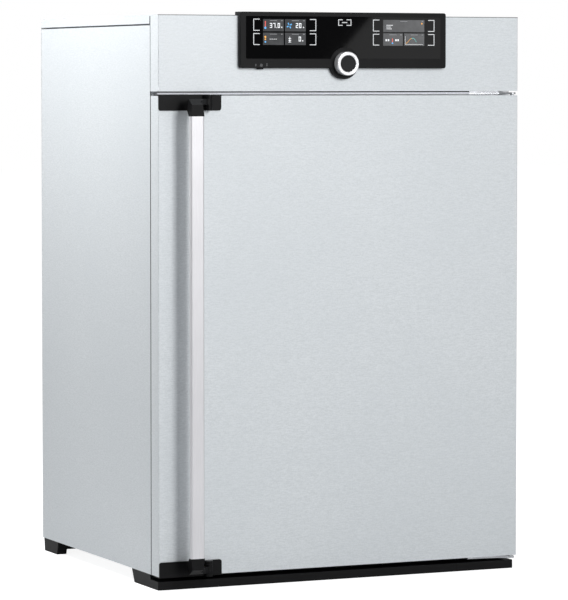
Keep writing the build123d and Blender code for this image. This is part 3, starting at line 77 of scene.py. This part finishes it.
class Nodes:
    """A material's node tree, with short ways to add and join nodes."""

    def __init__(self, name):
        self.material = bpy.data.materials.new(name)
        self.material.use_nodes = True
        self.tree = self.material.node_tree
        self.tree.nodes.clear()
        self.output = self.add("ShaderNodeOutputMaterial")
        self.shader = self.add("ShaderNodeBsdfPrincipled")
        self.join(self.shader.outputs["BSDF"], self.output.inputs["Surface"])
        self.place = self.add("ShaderNodeTexCoord").outputs["Object"]

    def add(self, kind, **settings):
        node = self.tree.nodes.new(kind)
        for key, value in settings.items():
            setattr(node, key, value)
        return node

    def join(self, source, target):
        self.tree.links.new(source, target)

    def stretched(self, scale, rotation=(0, 0, 0)):
        node = self.add("ShaderNodeMapping")
        node.inputs["Scale"].default_value = scale
        node.inputs["Rotation"].default_value = rotation
        self.join(self.place, node.inputs["Vector"])
        return node.outputs["Vector"]

    def noise(self, scale, detail=2.0, roughness=0.5, vector=None):
        node = self.add("ShaderNodeTexNoise")
        node.inputs["Scale"].default_value = scale
        node.inputs["Detail"].default_value = detail
        node.inputs["Roughness"].default_value = roughness
        self.join(vector or self.place, node.inputs["Vector"])
        return node.outputs["Fac"]

    def span(self, value, low, high, start=0.0, end=1.0):
        node = self.add("ShaderNodeMapRange")
        node.inputs["From Min"].default_value = start
        node.inputs["From Max"].default_value = end
        node.inputs["To Min"].default_value = low
        node.inputs["To Max"].default_value = high
        self.join(value, node.inputs["Value"])
        return node.outputs["Result"]

    def math(self, operation, a, b):
        node = self.add("ShaderNodeMath", operation=operation)
        for socket, value in zip(node.inputs, (a, b)):
            if isinstance(value, (int, float)):
                socket.default_value = value
            else:
                self.join(value, socket)
        return node.outputs[0]

    def mix(self, factor, a, b):
        node = self.add("ShaderNodeMix", data_type="RGBA")
        if isinstance(factor, (int, float)):
            node.inputs["Factor"].default_value = factor
        else:
            self.join(factor, node.inputs["Factor"])
        for socket, value in ((node.inputs["A"], a), (node.inputs["B"], b)):
            if isinstance(value, tuple):
                socket.default_value = value
            else:
                self.join(value, socket)
        return node.outputs["Result"]

    def bump(self, height, strength, distance):
        node = self.add("ShaderNodeBump")
        node.inputs["Strength"].default_value = strength
        node.inputs["Distance"].default_value = distance
        self.join(height, node.inputs["Height"])
        self.join(node.outputs["Normal"], self.shader.inputs["Normal"])

    def seam(self, colour, limits, line):
        """Colour with a painted shade line where every limit holds: (axis, level, whether above it)."""
        split = self.add("ShaderNodeSeparateXYZ")
        self.join(self.place, split.inputs["Vector"])
        beyond = 1.0
        for axis, level, above in limits:
            side = self.math("GREATER_THAN" if above else "LESS_THAN", split.outputs[axis], level)
            beyond = self.math("MULTIPLY", beyond, side)
        return self.mix(beyond, colour, line)

    def set(self, **values):
        for key, value in values.items():
            self.shader.inputs[key.replace("_", " ")].default_value = value
        return self


SHADED_STEEL = (64, 67, 71)
BLACK = (0.0, 0.0, 0.0, 1.0)
WHITE = (1.0, 1.0, 1.0, 1.0)


def shade(rgb, factor):
    """Lighter or darker linear colour."""
    return (*(min(1.0, c * factor) for c in linear(rgb)[:3]), 1.0)


def linen_steel(name, seams=()):
    """Stainless sheet rolled with a fine linen pattern. seams are the limits of painted shade lines in the
    gaps between panels.
    """
    m = Nodes(name)
    m.set(Metallic=0.25)
    rows = m.noise(1.0, 2.0, 0.6, m.stretched((110, 110, 520), (0.0, 0.05, 0.0)))
    specks = m.noise(340.0, 1.0)
    cloud = m.noise(3.0, 2.0)
    grain = m.math("ADD", m.math("MULTIPLY", rows, 0.6), m.math("MULTIPLY", specks, 0.4))
    fine = m.mix(m.span(grain, 0.0, 1.0, 0.34, 0.66), shade((214, 219, 222), 0.93),
                 shade((224, 228, 231), 1.02))
    wide = m.mix(m.span(cloud, 0.0, 0.35, 0.3, 0.7), fine, shade((208, 214, 218), 1.0))
    # Painted shade: steel in shadow along each gap between panels
    for limits in seams:
        wide = m.seam(wide, limits, linear(SHADED_STEEL))
    m.join(wide, m.shader.inputs["Base Color"])
    m.join(m.span(grain, 0.40, 0.54, 0.3, 0.7), m.shader.inputs["Roughness"])
    m.bump(grain, 0.12, 0.0006)
    return m.material


def satin_steel(name, rgb, metallic=0.8, rough=(0.26, 0.38), stretch=(30, 30, 900)):
    """Smooth sheet with a faint rolling direction."""
    m = Nodes(name)
    m.set(Metallic=metallic)
    lines = m.noise(1.0, 3.0, 0.6, m.stretched(stretch))
    cloud = m.noise(6.0, 2.0)
    mixed = m.math("ADD", m.math("MULTIPLY", lines, 0.6), m.math("MULTIPLY", cloud, 0.4))
    m.join(m.mix(m.span(mixed, 0.0, 1.0, 0.35, 0.65), shade(rgb, 0.92), shade(rgb, 1.04)),
           m.shader.inputs["Base Color"])
    m.join(m.span(lines, rough[0], rough[1], 0.3, 0.7), m.shader.inputs["Roughness"])
    m.bump(lines, 0.05, 0.0003)
    return m.material


def moulded(name, rgb, rough=(0.36, 0.48), grain=900.0, bump=0.15, coat=0.0, seams=()):
    """Moulded plastic with fine spark-eroded grain."""
    m = Nodes(name)
    m.set(Coat_Weight=coat, Coat_Roughness=0.12, Specular_IOR_Level=0.12)
    fine = m.noise(grain, 2.0)
    cloud = m.noise(14.0, 3.0)
    colour = m.mix(m.span(cloud, 0.0, 1.0, 0.3, 0.7), shade(rgb, 0.86), shade(rgb, 1.16))
    # seams add painted shade lines in black along the gaps between parts
    for limits in seams:
        colour = m.seam(colour, limits, BLACK)
    m.join(colour, m.shader.inputs["Base Color"])
    m.join(m.span(fine, rough[0], rough[1], 0.3, 0.7), m.shader.inputs["Roughness"])
    m.bump(fine, bump, 0.0002)
    return m.material


def black_glass():
    """Polished glass backed with black print."""
    m = Nodes("black_glass")
    m.set(Specular_IOR_Level=0.12)
    dust = m.noise(260.0, 2.0)
    cloud = m.noise(5.0, 1.0)
    m.join(m.mix(m.span(cloud, 0.0, 1.0, 0.3, 0.7), linear((3, 3, 4)), linear((6, 6, 7))),
           m.shader.inputs["Base Color"])
    m.join(m.span(dust, 0.02, 0.04, 0.3, 0.7), m.shader.inputs["Roughness"])
    return m.material


def clear_glass():
    """Clear toughened glass with slightly green depth."""
    m = Nodes("clear_glass")
    m.set(Transmission_Weight=1.0, IOR=1.45)
    film = m.noise(20.0, 2.0)
    m.join(m.mix(m.span(film, 0.0, 1.0, 0.3, 0.7), linear((238, 246, 243)), linear((245, 250, 248))),
           m.shader.inputs["Base Color"])
    m.join(m.span(film, 0.01, 0.04, 0.3, 0.7), m.shader.inputs["Roughness"])
    return m.material


def wool():
    """Mineral wool with matted fibres."""
    m = Nodes("mineral_wool")
    fibres = m.noise(1.0, 5.0, 0.7, m.stretched((120, 700, 120)))
    m.join(m.mix(m.span(fibres, 0.0, 1.0, 0.3, 0.7), linear((172, 160, 118)), linear((216, 206, 172))),
           m.shader.inputs["Base Color"])
    m.join(m.span(fibres, 0.85, 0.98, 0.3, 0.7), m.shader.inputs["Roughness"])
    m.bump(fibres, 0.6, 0.002)
    return m.material


def board():
    """Circuit board green, with traces as fine bands."""
    m = Nodes("circuit_board")
    wave = m.add("ShaderNodeTexWave", wave_type="BANDS", bands_direction="X")
    wave.inputs["Scale"].default_value = 140.0
    wave.inputs["Distortion"].default_value = 6.0
    m.join(m.place, wave.inputs["Vector"])
    m.join(m.mix(wave.outputs["Fac"], linear((16, 78, 44)), linear((28, 104, 62))),
           m.shader.inputs["Base Color"])
    m.join(m.span(wave.outputs["Fac"], 0.35, 0.5), m.shader.inputs["Roughness"])
    return m.material


def glow_surface(name, rgb, strength):
    """Glowing surface with a little unevenness: the panel's lit signs, and painted light for the strip in
    the gap above the door.
    """
    m = Nodes(name)
    spread = m.noise(300.0, 1.0)
    colour = m.mix(m.span(spread, 0.0, 1.0, 0.3, 0.7), shade(rgb, 0.85), shade(rgb, 1.0))
    m.join(colour, m.shader.inputs["Base Color"])
    m.join(colour, m.shader.inputs["Emission Color"])
    m.set(Emission_Strength=strength, Roughness=0.3)
    return m.material


looks = {
    "textured_steel": linen_steel("linen_steel"),
    "chamber_steel": satin_steel("chamber_steel", (212, 214, 217)),
    "galvanised_sheet": satin_steel("galvanised_sheet", (168, 173, 176), 0.7, (0.4, 0.55), (60, 60, 60)),
    "hinge_steel": satin_steel("hinge_steel", (206, 208, 212), 0.9, (0.18, 0.28)),
    "shelf_wire": satin_steel("shelf_wire", (208, 210, 213), 0.9, (0.16, 0.26), (300, 300, 300)),
    "black_steel": moulded("black_steel", (14, 14, 15), (0.3, 0.42), 300.0, 0.05),
    "bar_aluminium": satin_steel("bar_aluminium", (220, 219, 222), 0.45, (0.34, 0.42), (900, 900, 20)),
    "fan_aluminium": satin_steel("fan_aluminium", (190, 192, 195), 0.85, (0.3, 0.4), (200, 200, 200)),
    "black_plastic": moulded("black_plastic", (20, 20, 21)),
    "dark_plastic": moulded("dark_plastic", (16, 16, 17)),
    "knob_plastic": satin_steel("knob_ring", (238, 238, 240), 0.6, (0.16, 0.22), (400, 400, 400)),
    "key_plastic": moulded("key_plastic", (16, 17, 19), (0.22, 0.3), 700.0, 0.05, 0.12),
    "panel_glass": black_glass(),
    "door_glass": clear_glass(),
    "display_film": moulded("display_film", (22, 24, 27), (0.12, 0.2), 400.0, 0.02),
    "seal_silicone": moulded("seal_silicone", (196, 198, 199), (0.4, 0.5), 500.0, 0.1),
    "gasket_silicone": moulded("gasket_silicone", (92, 96, 101), (0.45, 0.6), 500.0, 0.1),
    "wool_insulation": wool(),
    "heater_film": moulded("heater_film", (158, 62, 34), (0.45, 0.6), 300.0, 0.2),
    "circuit_board": board(),
    "motor_steel": moulded("motor_enamel", (34, 35, 37), (0.28, 0.4), 300.0, 0.08),
    "actuator_plastic": moulded("actuator_plastic", (214, 214, 208), (0.4, 0.5), 500.0, 0.1),
}

# Painted shade lines along the gaps where the casing's pieces and the front feet meet, in metres from the
# edges of the pieces that meet there.
# The lid's front line is wider, because it is the darkest in the photograph.
SEAM_WIDTH = 0.0013
SIDE_FRONT_SEAM = 0.00195
LID_FRONT_SEAM = 0.00455
LID_ROUNDING = 0.003
FASCIA_ROUNDING = 0.002
FOOT_SEAM = 0.0008
lid_low, lid_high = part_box("lid_panel")
side_low, side_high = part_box("left_side_panel")
fascia_low, fascia_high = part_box("control_fascia")
foot_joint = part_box("front_foot_left")[1].x
casing_seams = (
    (("Z", side_high.z - SEAM_WIDTH, True),),
    (("Y", side_low.y + SIDE_FRONT_SEAM, False),),
)
lid_seams = (
    (("Z", lid_low.z + SEAM_WIDTH, False),),
    (("Y", lid_low.y + LID_FRONT_SEAM, False), ("Z", lid_high.z - LID_ROUNDING, False)),
)
fascia_seams = (
    (("Z", fascia_high.z - SEAM_WIDTH, True), ("Y", fascia_low.y + FASCIA_ROUNDING, False)),
)
# The front feet get painted shade lines in black at their inner ends.
left_foot_seams = ((("X", foot_joint - FOOT_SEAM, True),),)
right_foot_seams = ((("X", FOOT_SEAM - foot_joint, False),),)
painted_seam_looks = {
    "left_side_panel": linen_steel("side_steel", casing_seams),
    "right_side_panel": linen_steel("side_steel_right", casing_seams),
    "lid_panel": linen_steel("lid_steel", lid_seams),
    "control_fascia": linen_steel("fascia_steel", fascia_seams),
    "front_foot_left": moulded("foot_plastic", (20, 20, 21), seams=left_foot_seams),
    "front_foot_right": moulded("foot_plastic_right", (20, 20, 21), seams=right_foot_seams),
}
for part in frame["record"]["subparts"]:
    obj = nodes[part["node"]]
    obj.data.materials.clear()
    obj.data.materials.append(painted_seam_looks.get(part["node"], looks[part["material_slot"]]))
    for face in obj.data.polygons:
        face.material_index = 0


# Floor, world and lamps
FLOOR_SIZE = 60.0
FLOOR_LIFT = 0.9
MIRRORED_SHARE = 0.3
WORLD_LIGHT = 0.26


def pale_stage(name, rgb, lift):
    """Pale studio surface: what the camera sees of it is lifted towards white, and keeps shadows."""
    m = Nodes(name)
    speck = m.noise(3.0, 2.0)
    m.join(m.mix(m.span(speck, 0.0, 1.0, 0.3, 0.7), shade(rgb, 0.99), shade(rgb, 1.01)),
           m.shader.inputs["Base Color"])
    m.set(Roughness=0.9, Specular_IOR_Level=0.0)
    path = m.add("ShaderNodeLightPath")
    mirrored = m.math("MULTIPLY", path.outputs["Is Glossy Ray"], MIRRORED_SHARE)
    seen = m.math("MAXIMUM", path.outputs["Is Camera Ray"], mirrored)
    seen = m.math("MAXIMUM", seen, path.outputs["Is Transmission Ray"])
    m.shader.inputs["Emission Color"].default_value = WHITE
    m.join(m.math("MULTIPLY", seen, lift), m.shader.inputs["Emission Strength"])
    return m.material


bpy.ops.mesh.primitive_plane_add(size=FLOOR_SIZE, location=(0, 0, 0))
floor = bpy.context.object
floor.name = "studio_floor"
floor.data.materials.append(pale_stage("studio_floor", (176, 177, 178), FLOOR_LIFT))

world = bpy.data.worlds.new("studio")
scene.world = world
world.use_nodes = True
tree = world.node_tree
tree.nodes.clear()
sky = tree.nodes.new("ShaderNodeOutputWorld")
soft = tree.nodes.new("ShaderNodeBackground")
soft.inputs["Color"].default_value = (0.97, 0.985, 1.0, 1.0)
soft.inputs["Strength"].default_value = WORLD_LIGHT
white = tree.nodes.new("ShaderNodeBackground")
white.inputs["Color"].default_value = WHITE
white.inputs["Strength"].default_value = 1.0
path = tree.nodes.new("ShaderNodeLightPath")
pick = tree.nodes.new("ShaderNodeMixShader")
tree.links.new(path.outputs["Is Camera Ray"], pick.inputs["Fac"])
tree.links.new(soft.outputs["Background"], pick.inputs[1])
tree.links.new(white.outputs["Background"], pick.inputs[2])
tree.links.new(pick.outputs["Shader"], sky.inputs["Surface"])


def lamp(name, place, target, size, power):
    """Soft rectangular lamp that points at a target."""
    data = bpy.data.lights.new(name, "AREA")
    data.shape = "RECTANGLE"
    data.size, data.size_y = size
    data.energy = power
    obj = bpy.data.objects.new(name, data)
    obj.location = place
    obj.rotation_mode = "QUATERNION"
    obj.rotation_quaternion = (Vector(target) - Vector(place)).to_track_quat("-Z", "Y")
    scene.collection.objects.link(obj)
    return obj


lamp("key_left", (-1.35, 0.12, 2.05), (-0.41, 0.1, 1.05), (1.2, 0.6), 43)
lamp("front_right", (0.7, -4.5, 2.2), (-0.1, -0.3, 0.5), (1.2, 1.8), 100)
lamp("top_soft", (0.2, 0.2, 3.6), (0.0, 0.0, 1.0), (2.5, 2.5), 34)
# The panel's glass mirrors this lamp, whose turned edge gives the slanted border of the pale sheen
GLINT_TURN = -41.0
glint = lamp("panel_glint", (3.28, -6.0, 0.6), (0.0, -0.33, 1.13), (1.6, 1.6), 20)
glint.rotation_quaternion @= Quaternion((0.0, 0.0, 1.0), math.radians(GLINT_TURN))


# Marks on the panel
def flat_mesh(name, polygons, thickness, face_y, material, body):
    """Thin solid shapes that lie on a face towards the user: polygons are lists of (x, z) in millimetres."""
    mesh = bpy.data.meshes.new(name)
    bm = bmesh.new()
    for outline in polygons:
        corners = [bm.verts.new((x / 1000, face_y, z / 1000)) for x, z in outline]
        face = bm.faces.new(corners)
        grown = bmesh.ops.extrude_face_region(bm, geom=[face])
        for item in grown["geom"]:
            if isinstance(item, bmesh.types.BMVert):
                item.co.y -= thickness
    bmesh.ops.recalc_face_normals(bm, faces=bm.faces)
    bm.to_mesh(mesh)
    bm.free()
    obj = bpy.data.objects.new(name, mesh)
    scene.collection.objects.link(obj)
    mesh.materials.append(material)
    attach(obj, body)
    return obj


def bracket(left, right, low, high, opens, line=1.5):
    """Square bracket that marks a touch key, as one outline. opens is the open side."""
    if opens == "right":
        return [(right, low), (right, low + line), (left + line, low + line), (left + line, high - line),
                (right, high - line), (right, high), (left, high), (left, low)]
    return [(left, low), (right, low), (right, high), (left, high), (left, high - line),
            (right - line, high - line), (right - line, low + line), (left, low + line)]


# Touch keys of the panel. All sizes on the panel are in millimetres: x from the middle, z from the floor.
KEY_COLUMNS = (
    (-206.4, -192.3, "right"), (-79.3, -64.9, "left"), (65.2, 79.8, "right"), (192.9, 207.7, "left"),
)
KEY_ROWS = ((1115.0, 1139.0), (1144.0, 1168.5))
MIDDLE_SIGN_LOW, MIDDLE_SIGN_HIGH = 1155.5, 1168.4
MIDDLE_SIGN_LINE = 1.6
MARK_THICKNESS = 0.00008
TILE_THICKNESS = 0.00006
SIGN_THICKNESS = 0.00004


def rectangle(left, right, low, high):
    return [(left, low), (right, low), (right, high), (left, high)]


glass_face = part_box("cockpit_glass")[0].y
marks = []
for left, right, opens in KEY_COLUMNS:
    marks += [bracket(left, right, low, high, opens) for low, high in KEY_ROWS]
marks.append(bracket(-14.5, -4.5, MIDDLE_SIGN_LOW, MIDDLE_SIGN_HIGH, "right"))
marks.append(bracket(4.5, 15.3, MIDDLE_SIGN_LOW, MIDDLE_SIGN_HIGH, "left"))
marks.append(rectangle(-6.0, 6.0, 1161.2, 1161.2 + MIDDLE_SIGN_LINE))
flat_mesh("panel_touch_marks", marks, MARK_THICKNESS, glass_face,
          glow_surface("panel_marks", (226, 228, 230), 0.25), "cabinet")


def tile_material():
    """Lit display tile: dark grey with a little unevenness."""
    m = Nodes("display_tile")
    spread = m.noise(40.0, 2.0)
    colour = m.mix(m.span(spread, 0.0, 1.0, 0.3, 0.7), linear((52, 53, 55)), linear((72, 73, 75)))
    m.join(colour, m.shader.inputs["Base Color"])
    m.join(colour, m.shader.inputs["Emission Color"])
    m.set(Emission_Strength=0.28, Roughness=0.12)
    return m.material


# Display tiles as left, right, low and high edges: four on the left, one over two on the right
TILES = (
    (-184.6, -138.2, 1143.0, 1167.9), (-135.4, -88.6, 1143.0, 1167.9),
    (-184.6, -138.2, 1115.1, 1140.2), (-135.4, -88.6, 1115.1, 1140.2),
    (88.6, 184.2, 1143.0, 1168.2),
    (88.6, 134.2, 1114.6, 1140.2), (137.4, 184.2, 1114.6, 1140.2),
)
flat_mesh("display_tiles", [rectangle(*tile) for tile in TILES], TILE_THICKNESS, glass_face, tile_material(),
          "cabinet")

# Which of a digit's seven bars are lit, in the order top, upper left, upper right, middle,
# lower left, lower right, bottom
LIT_BARS = {"0": "1110111", "2": "1011101", "3": "1011011", "7": "1010010", "-": "0001000"}
DIGIT_WIDTH = 0.52
DIGIT_LINE = 0.15
DIGIT_GAP = 1.4


def digits(text, left, low, height):
    """Bars of a row of digits, as rectangles. Width and line are shares of the height."""
    width = DIGIT_WIDTH * height
    line = DIGIT_LINE * height
    middle = low + height / 2
    out = []
    for char in text:
        if char == ".":
            out.append(rectangle(left, left + line, low, low + line))
            left += 2 * line
            continue
        right = left + width
        bars = [
            rectangle(left, right, low + height - line, low + height),
            rectangle(left, left + line, middle, low + height),
            rectangle(right - line, right, middle, low + height),
            rectangle(left, right, middle - line / 2, middle + line / 2),
            rectangle(left, left + line, low, middle),
            rectangle(right - line, right, low, middle),
            rectangle(left, right, low, low + line),
        ]
        out += [bar for bar, lit in zip(bars, LIT_BARS[char]) if lit == "1"]
        left = right + DIGIT_GAP * line
    return out


def disc(x, z, radius, steps=16):
    """Round spot."""
    turns = [2 * math.pi * i / steps for i in range(steps)]
    return [(x + radius * math.cos(a), z + radius * math.sin(a)) for a in turns]


def petal(x, z, length, angle):
    """Blade of the fan sign."""
    points = []
    for along, across in ((0.15, 0.0), (0.5, 0.32), (0.95, 0.30), (1.0, -0.05), (0.55, -0.12)):
        points.append((x + length * (along * math.cos(angle) - across * math.sin(angle)),
                       z + length * (along * math.sin(angle) + across * math.cos(angle))))
    return points


def curve_band(points, line):
    """Line of a chart: one slanted band for each stretch."""
    return [[(x0, z0 - line / 2), (x1, z1 - line / 2), (x1, z1 + line / 2), (x0, z0 + line / 2)]
            for (x0, z0), (x1, z1) in zip(points, points[1:])]


# White signs: numbers, dashes, small points, a stand with three bars, text lines and the chart's axes
DIGIT_HEIGHT = 10.0
DASH_HEIGHT = 6.0
UPPER_DIGITS, LOWER_DIGITS, DASHES = 1150.0, 1122.5, 1124.0
POINT = 2.2
POINT_HEIGHT = 2.6
white_signs = digits("37.0", -169.5, UPPER_DIGITS, DIGIT_HEIGHT)
white_signs += digits("20", -111.0, UPPER_DIGITS, DIGIT_HEIGHT)
white_signs += digits("0", -104.5, LOWER_DIGITS, DIGIT_HEIGHT)
white_signs += digits("----", -170.0, DASHES, DASH_HEIGHT)
for left, low in ((-143.8, UPPER_DIGITS), (-94.8, UPPER_DIGITS), (-96.5, LOWER_DIGITS)):
    white_signs.append(rectangle(left, left + POINT, low, low + POINT_HEIGHT))
white_signs += [rectangle(-127.6, -121.6, low, low + 1.2) for low in (1120.5, 1124.2, 1128.0)]
white_signs.append(rectangle(-125.2, -124.0, 1120.5, 1132.0))
for length, low in ((15.0, 1156.5), (10.5, 1152.8), (12.5, 1149.0)):
    white_signs.append(rectangle(96.0, 96.0 + length, low, low + 1.1))
white_signs += [rectangle(left, left + 3.4, 1124.0, 1128.0) for left in (94.0, 99.2, 116.5, 121.5)]
white_signs += [rectangle(139.6, 140.2, 1117.0, 1134.5), rectangle(139.6, 181.0, 1117.0, 1117.6)]

# Grey headings: a long and a short dash under each tile's upper edge
grey_heads = []
for left, right, low, high in TILES:
    middle = (left + right) / 2
    grey_heads.append(rectangle(middle - 8.0, middle + 8.0, high - 3.4, high - 2.5))
    grey_heads.append(rectangle(right - 6.0, right - 2.5, high - 3.6, high - 2.3))

# Coloured signs: two thermometers, the fan, warning spots and the chart's line
THERMOMETER = -179.6
SMALL_THERMOMETER = 110.1
FAN_MIDDLE = (-125.6, 1155.0)
FAN_BLADE = 6.4
CHART_LINE = 1.0
CHART_RISE = [(141.5, 1119.0), (146.0, 1122.5), (150.5, 1128.0), (155.0, 1130.2)]
CHART_FALL = [(155.0, 1130.2), (159.5, 1130.0), (163.0, 1126.5), (165.5, 1122.5)]
red_signs = [rectangle(-180.6, -178.6, 1152.5, 1163.0), disc(THERMOMETER, 1163.0, 1.0),
             rectangle(109.4, 110.9, 1121.5, 1129.5)]
blue_signs = [disc(THERMOMETER, 1150.0, 2.4), disc(SMALL_THERMOMETER, 1119.8, 1.7),
              disc(THERMOMETER, 1121.4, 1.9)]
blue_signs += [petal(*FAN_MIDDLE, FAN_BLADE, math.radians(turn)) for turn in (20, 110, 200, 290)]
amber_signs = [disc(THERMOMETER, 1131.5, 2.2), disc(THERMOMETER, 1126.6, 1.7), disc(178.4, 1160.8, 1.7)]
amber_signs += curve_band(CHART_RISE, CHART_LINE)
teal_signs = curve_band(CHART_FALL, CHART_LINE)
for name, shapes, rgb, strength in (
    ("display_digits", white_signs, (236, 238, 240), 0.45),
    ("display_heads", grey_heads, (150, 152, 155), 0.25),
    ("display_warm_signs", red_signs, (226, 84, 74), 0.5),
    ("display_cool_signs", blue_signs, (84, 168, 226), 0.5),
    ("display_amber_signs", amber_signs, (238, 168, 60), 0.5),
    ("display_teal_signs", teal_signs, (84, 196, 190), 0.5),
):
    flat_mesh(name, shapes, SIGN_THICKNESS, glass_face - TILE_THICKNESS, glow_surface(name, rgb, strength),
              "cabinet")

# Small signs on the panel's lower rim: a line, a ring with a spot, and a line with a spot
RIM_LOW = 1071.2
RING_MIDDLE = (-188.4, 1073.6)
RING_OUTER, RING_INNER = 2.9, 2.2
RING_STEPS = 20


def ring_piece(start, end):
    """Piece of the ring between two angles."""
    x, z = RING_MIDDLE
    corners = ((RING_OUTER, start), (RING_OUTER, end), (RING_INNER, end), (RING_INNER, start))
    return [(x + radius * math.cos(angle), z + radius * math.sin(angle)) for radius, angle in corners]


turns = [2 * math.pi * i / RING_STEPS for i in range(RING_STEPS)]
rim_signs = [rectangle(-201.4, -200.2, RIM_LOW, 1076.0), disc(*RING_MIDDLE, 1.0)]
rim_signs += [ring_piece(start, end) for start, end in zip(turns, turns[1:] + turns[:1])]
rim_signs += [rectangle(-176.6, -175.4, RIM_LOW, 1074.6), disc(-176.0, 1076.2, 0.9)]
flat_mesh("rim_signs", rim_signs, TILE_THICKNESS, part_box("cockpit_housing")[0].y,
          glow_surface("rim_signs", (122, 124, 126), 0.0), "cabinet")

# Painted light in the gap above the door: a pale glowing strip stands in for the frame there, and the dark
# line over it is painted shade
STRIP_SETBACK = 0.014
STRIP_THICKNESS = 0.0006
STRIP_LEFT_GAP = 4.0
STRIP_RIGHT_GAP = 6.0
STRIP_RISE = 3.0
STRIP_TOP_GAP = 2.6
SHADE_LOW_GAP = 2.5
SHADE_TOP_GAP = 0.3
door_low, door_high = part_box("door_outer_skin")
strip_left = door_low.x * 1000 + STRIP_LEFT_GAP
strip_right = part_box("upper_hinge_bracket")[0].x * 1000 - STRIP_RIGHT_GAP
gap_low = door_high.z * 1000
gap_high = fascia_low.z * 1000
strip_face = door_low.y + STRIP_SETBACK
strip = [rectangle(strip_left, strip_right, gap_low + STRIP_RISE, gap_high - STRIP_TOP_GAP)]
flat_mesh("gap_painted_light", strip, STRIP_THICKNESS, strip_face, glow_surface("gap_painted_light", (226, 227, 234), 0.35),
          "cabinet")
# Painted shade: a dark sheet stands for the shadow under the fascia's lower edge
shade_line = [rectangle(strip_left, strip_right, gap_high - SHADE_LOW_GAP, gap_high - SHADE_TOP_GAP)]
flat_mesh("gap_painted_shade", shade_line, STRIP_THICKNESS, strip_face, moulded("gap_painted_shade", (30, 31, 34)),
          "cabinet")
